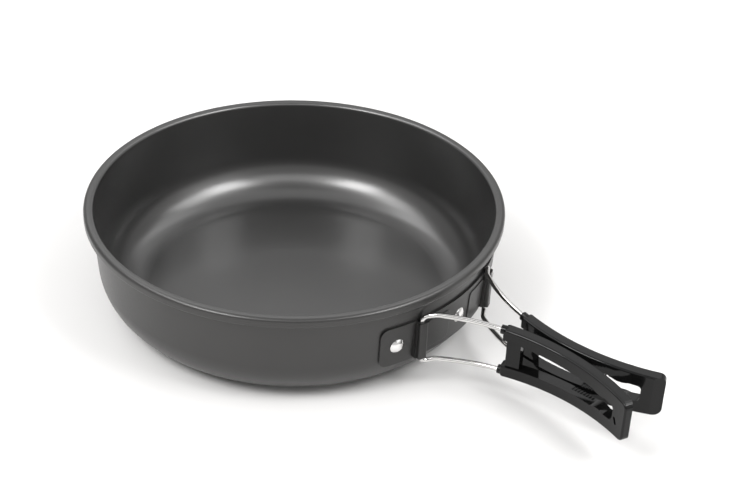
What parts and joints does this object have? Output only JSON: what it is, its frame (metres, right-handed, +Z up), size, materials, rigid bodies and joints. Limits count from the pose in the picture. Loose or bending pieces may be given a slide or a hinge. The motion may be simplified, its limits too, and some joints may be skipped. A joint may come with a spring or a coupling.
{
  "type": "camping frying pan with folding handle",
  "caption": "Shallow round camping pan with a rolled rim and a riveted bracket whose wire wings, each with a black plastic grip, swing together as a handle or fold around the wall.",
  "frame": {"origin": "centre of the flat underside, on the axis of the bowl", "axes": "+Z up out of the mouth of the bowl, +X along the opened handle, +Y to the left seen from behind the bowl"},
  "size_m": [0.2972, 0.2, 0.0514],
  "materials": {
    "anodised_pan": "hard anodised, satin dark grey",
    "anodised_bracket": "hard anodised, satin dark grey",
    "rivet_steel": "polished",
    "wire_steel": "bright",
    "grip_plastic": "moulded, glossy black"
  },
  "bodies": {
    "pan": {"pan_body": "anodised_pan", "handle_bracket": "anodised_bracket", "rivet_left": "rivet_steel", "rivet_centre": "rivet_steel", "rivet_right": "rivet_steel"},
    "left_wing": {"wire_left": "wire_steel", "grip_left": "grip_plastic"},
    "right_wing": {"wire_right": "wire_steel", "grip_right": "grip_plastic"}
  },
  "joints": [
    {"name": "left_wing_fold", "type": "hinge", "parent": "pan", "child": "left_wing", "pos_m": [0.09386, 0.02603, 0.027], "axis": [0, 0, 1], "range_deg": [0, 146.3]},
    {"name": "right_wing_fold", "type": "hinge", "parent": "pan", "child": "right_wing", "pos_m": [0.09386, -0.02603, 0.027], "axis": [0, 0, -1], "range_deg": [0, 139.4]}
  ]
}
